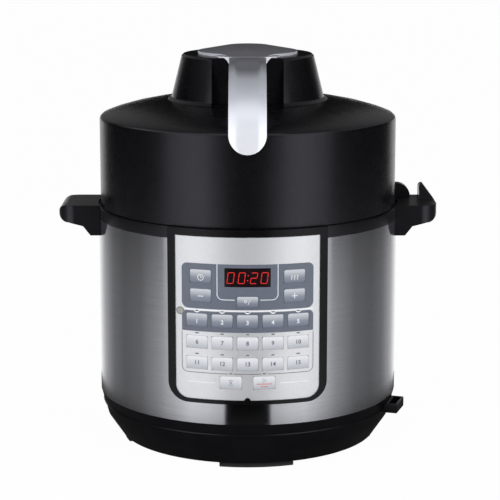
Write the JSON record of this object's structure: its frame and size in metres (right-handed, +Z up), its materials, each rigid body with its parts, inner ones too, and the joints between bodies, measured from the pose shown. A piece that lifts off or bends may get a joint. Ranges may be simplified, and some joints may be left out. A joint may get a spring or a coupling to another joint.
{
  "type": "electric pressure cooker",
  "caption": "Round countertop electric cooker: steel drum on a dark base, push-key panel, side handles, lift-out pot and a tall dark lift-off heater lid with a bent front handle.",
  "frame": {"origin": "on the table under the middle of the object, at the underside of the feet", "axes": "+Z up, -Y towards the control panel (front), +X to the viewer's right"},
  "size_m": [0.364, 0.304, 0.3826],
  "materials": {
    "black_plastic": "satin black moulding",
    "steel": "upright brushed",
    "inner_steel": "plain drawn",
    "cast_aluminium": "as cast",
    "motor_steel": "zinc grey",
    "rubber": "matt",
    "silver_panel": "silver film",
    "silver_handle": "satin silver",
    "lamp": "diffusing",
    "display_glass": "smoked",
    "module": "moulded",
    "board": "coated",
    "dark_keys": "slate film",
    "light_keys": "pale grey film"
  },
  "bodies": {
    "base": {"base_tray": "black_plastic", "base_screws": "inner_steel", "rubber_feet": "rubber", "body_shell": "steel", "upper_collar": "black_plastic", "pot_well": "inner_steel", "heating_plate": "cast_aluminium", "sensor_spring": "inner_steel", "power_board": "board", "left_handle": "black_plastic", "right_handle": "black_plastic", "accessory_bracket": "black_plastic", "panel_bezel": "black_plastic", "panel_fascia": "silver_panel", "indicator_lenses": "lamp", "display_window": "display_glass", "display_module": "module", "tact_switches": "module", "control_board": "board", "lid_socket": "black_plastic", "mains_inlet": "black_plastic"},
    "pot": {"inner_pot": "inner_steel"},
    "lid": {"lid_shell": "black_plastic", "lid_hub": "black_plastic", "lid_handle": "silver_handle", "lid_plug": "black_plastic", "guard_grille": "inner_steel", "heating_coil": "inner_steel", "coil_clips": "inner_steel", "fan_motor": "motor_steel"},
    "fan": {"fan_impeller": "cast_aluminium"},
    "sensor": {"sensor_cap": "cast_aluminium"},
    "key_time": {"key_time": "dark_keys"},
    "key_warm": {"key_warm": "dark_keys"},
    "key_minus": {"key_minus": "dark_keys"},
    "key_plus": {"key_plus": "dark_keys"},
    "key_unit": {"key_unit": "dark_keys"},
    "key_delay": {"key_delay": "light_keys"},
    "key_start": {"key_start": "light_keys"},
    "key_dark_1": {"key_dark_1": "dark_keys"},
    "key_dark_2": {"key_dark_2": "dark_keys"},
    "key_dark_3": {"key_dark_3": "dark_keys"},
    "key_dark_4": {"key_dark_4": "dark_keys"},
    "key_dark_5": {"key_dark_5": "dark_keys"},
    "key_light_1": {"key_light_1": "light_keys"},
    "key_light_2": {"key_light_2": "light_keys"},
    "key_light_3": {"key_light_3": "light_keys"},
    "key_light_4": {"key_light_4": "light_keys"},
    "key_light_5": {"key_light_5": "light_keys"},
    "key_lower_1": {"key_lower_1": "light_keys"},
    "key_lower_2": {"key_lower_2": "light_keys"},
    "key_lower_3": {"key_lower_3": "light_keys"},
    "key_lower_4": {"key_lower_4": "light_keys"},
    "key_lower_5": {"key_lower_5": "light_keys"}
  },
  "joints": [
    {"name": "pot_lift", "type": "slide", "parent": "base", "child": "pot", "axis": [0, 0, 1], "range_m": [0, 0.18]},
    {"name": "lid_lift", "type": "slide", "parent": "pot", "child": "lid", "axis": [0, 0, 1], "range_m": [0, 0.15]},
    {"name": "fan_spin", "type": "hinge", "parent": "lid", "child": "fan", "pos_m": [0, 0, 0.29], "axis": [0, 0, 1], "continuous": true},
    {"name": "sensor_press", "type": "slide", "parent": "base", "child": "sensor", "axis": [0, 0, -1], "range_m": [0, 0.002], "stiffness_N_per_m": 400, "springref_m": -0.001, "deforming": ["sensor_spring"]},
    {"name": "key_time_press", "type": "slide", "parent": "base", "child": "key_time", "axis": [0, 1, 0], "range_m": [0, 0.0005], "stiffness_N_per_m": 3000},
    {"name": "key_warm_press", "type": "slide", "parent": "base", "child": "key_warm", "axis": [0, 1, 0], "range_m": [0, 0.0005], "stiffness_N_per_m": 3000},
    {"name": "key_minus_press", "type": "slide", "parent": "base", "child": "key_minus", "axis": [0, 1, 0], "range_m": [0, 0.0005], "stiffness_N_per_m": 3000},
    {"name": "key_plus_press", "type": "slide", "parent": "base", "child": "key_plus", "axis": [0, 1, 0], "range_m": [0, 0.0005], "stiffness_N_per_m": 3000},
    {"name": "key_unit_press", "type": "slide", "parent": "base", "child": "key_unit", "axis": [0, 1, 0], "range_m": [0, 0.0005], "stiffness_N_per_m": 3000},
    {"name": "key_delay_press", "type": "slide", "parent": "base", "child": "key_delay", "axis": [0, 1, 0], "range_m": [0, 0.0005], "stiffness_N_per_m": 3000},
    {"name": "key_start_press", "type": "slide", "parent": "base", "child": "key_start", "axis": [0, 1, 0], "range_m": [0, 0.0005], "stiffness_N_per_m": 3000},
    {"name": "key_dark_1_press", "type": "slide", "parent": "base", "child": "key_dark_1", "axis": [0, 1, 0], "range_m": [0, 0.0005], "stiffness_N_per_m": 3000},
    {"name": "key_dark_2_press", "type": "slide", "parent": "base", "child": "key_dark_2", "axis": [0, 1, 0], "range_m": [0, 0.0005], "stiffness_N_per_m": 3000},
    {"name": "key_dark_3_press", "type": "slide", "parent": "base", "child": "key_dark_3", "axis": [0, 1, 0], "range_m": [0, 0.0005], "stiffness_N_per_m": 3000},
    {"name": "key_dark_4_press", "type": "slide", "parent": "base", "child": "key_dark_4", "axis": [0, 1, 0], "range_m": [0, 0.0005], "stiffness_N_per_m": 3000},
    {"name": "key_dark_5_press", "type": "slide", "parent": "base", "child": "key_dark_5", "axis": [0, 1, 0], "range_m": [0, 0.0005], "stiffness_N_per_m": 3000},
    {"name": "key_light_1_press", "type": "slide", "parent": "base", "child": "key_light_1", "axis": [0, 1, 0], "range_m": [0, 0.0005], "stiffness_N_per_m": 3000},
    {"name": "key_light_2_press", "type": "slide", "parent": "base", "child": "key_light_2", "axis": [0, 1, 0], "range_m": [0, 0.0005], "stiffness_N_per_m": 3000},
    {"name": "key_light_3_press", "type": "slide", "parent": "base", "child": "key_light_3", "axis": [0, 1, 0], "range_m": [0, 0.0005], "stiffness_N_per_m": 3000},
    {"name": "key_light_4_press", "type": "slide", "parent": "base", "child": "key_light_4", "axis": [0, 1, 0], "range_m": [0, 0.0005], "stiffness_N_per_m": 3000},
    {"name": "key_light_5_press", "type": "slide", "parent": "base", "child": "key_light_5", "axis": [0, 1, 0], "range_m": [0, 0.0005], "stiffness_N_per_m": 3000},
    {"name": "key_lower_1_press", "type": "slide", "parent": "base", "child": "key_lower_1", "axis": [0, 1, 0], "range_m": [0, 0.0005], "stiffness_N_per_m": 3000},
    {"name": "key_lower_2_press", "type": "slide", "parent": "base", "child": "key_lower_2", "axis": [0, 1, 0], "range_m": [0, 0.0005], "stiffness_N_per_m": 3000},
    {"name": "key_lower_3_press", "type": "slide", "parent": "base", "child": "key_lower_3", "axis": [0, 1, 0], "range_m": [0, 0.0005], "stiffness_N_per_m": 3000},
    {"name": "key_lower_4_press", "type": "slide", "parent": "base", "child": "key_lower_4", "axis": [0, 1, 0], "range_m": [0, 0.0005], "stiffness_N_per_m": 3000},
    {"name": "key_lower_5_press", "type": "slide", "parent": "base", "child": "key_lower_5", "axis": [0, 1, 0], "range_m": [0, 0.0005], "stiffness_N_per_m": 3000}
  ]
}
